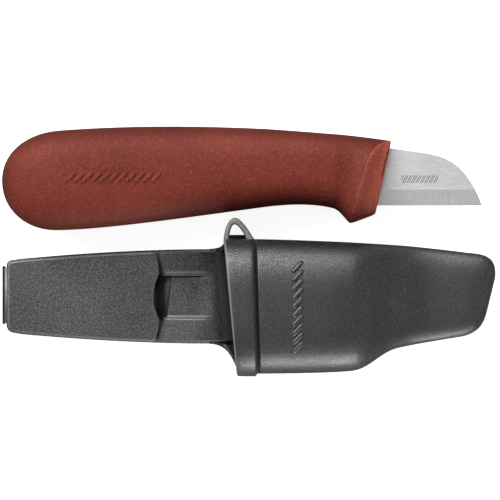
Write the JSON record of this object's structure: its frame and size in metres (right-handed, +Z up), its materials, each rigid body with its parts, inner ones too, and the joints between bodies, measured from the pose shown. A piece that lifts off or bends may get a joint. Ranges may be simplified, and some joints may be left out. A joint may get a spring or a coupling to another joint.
{
  "type": "sheath knife",
  "caption": "Short sheepfoot-bladed fixed knife with a rounded red handle, beside its moulded belt sheath with a fold-open belt flap and a lanyard eye.",
  "frame": {"origin": "centre of the bounding box in plan, on the plane that the knife and the sheath lie on", "axes": "+X towards the blade tip, +Y from the sheath to the knife, +Z up from the plane that they lie on"},
  "size_m": [0.1499, 0.0759, 0.028],
  "materials": {
    "blade_steel": "fine brushed flats with a finer, cross-ground bevel",
    "grip_red": "soft red grip with a fine leathery grain",
    "core_red": "hard red plastic, satin",
    "sheath_grey": "dark grey moulded plastic with a fine eroded grain, satin"
  },
  "bodies": {
    "sheath": {"sheath_pouch": "sheath_grey", "mouth_collar": "sheath_grey", "lanyard_eye": "sheath_grey", "belt_tongue": "sheath_grey", "flap_seat": "sheath_grey"},
    "strap": {"fold_strap": "sheath_grey"},
    "flap": {"belt_flap": "sheath_grey"},
    "knife": {"blade": "blade_steel", "handle_core": "core_red", "handle_grip": "grip_red"}
  },
  "joints": [
    {"name": "lower_fold", "type": "hinge", "parent": "sheath", "child": "strap", "pos_m": [-0.0745, -0.0136, 0.001], "axis": [0, -1, 0], "range_deg": [0, 90]},
    {"name": "upper_fold", "type": "hinge", "parent": "strap", "child": "flap", "pos_m": [-0.0745, -0.0136, 0.0073], "axis": [0, -1, 0], "range_deg": [0, 90]},
    {"name": "knife_lift", "type": "slide", "parent": "sheath", "child": "knife", "axis": [0, 0, 1], "range_m": [0, 0.06]}
  ]
}
